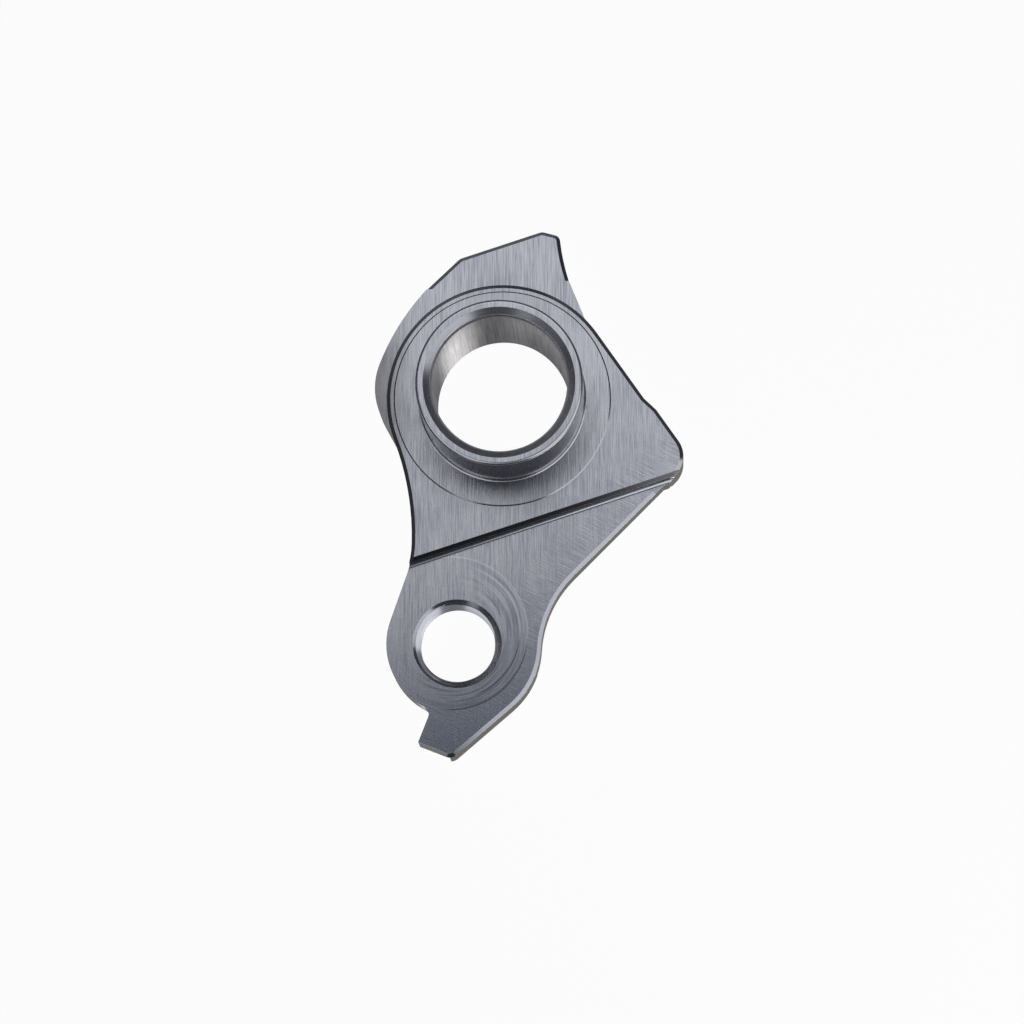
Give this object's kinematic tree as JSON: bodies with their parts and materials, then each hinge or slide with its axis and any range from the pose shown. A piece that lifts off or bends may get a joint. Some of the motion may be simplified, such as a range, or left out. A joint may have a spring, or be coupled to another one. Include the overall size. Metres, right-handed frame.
{
  "type": "bicycle derailleur hanger",
  "caption": "Flat machined bicycle derailleur hanger with a tubular axle boss, a stepped arm and a threaded derailleur eye with a stop tail.",
  "frame": {"origin": "on the axle bore's axis, level with the flat back face", "axes": "+Z along the axle bore towards the boss, +Y towards the frame tab, -Y towards the derailleur eye, back face on the plane z = 0"},
  "size_m": [0.0371, 0.0635, 0.0207],
  "materials": {
    "hanger": "milled and anodised grey, fine tool marks, satin"
  },
  "bodies": {
    "root": {"hanger": "hanger"}
  },
  "joints": []
}
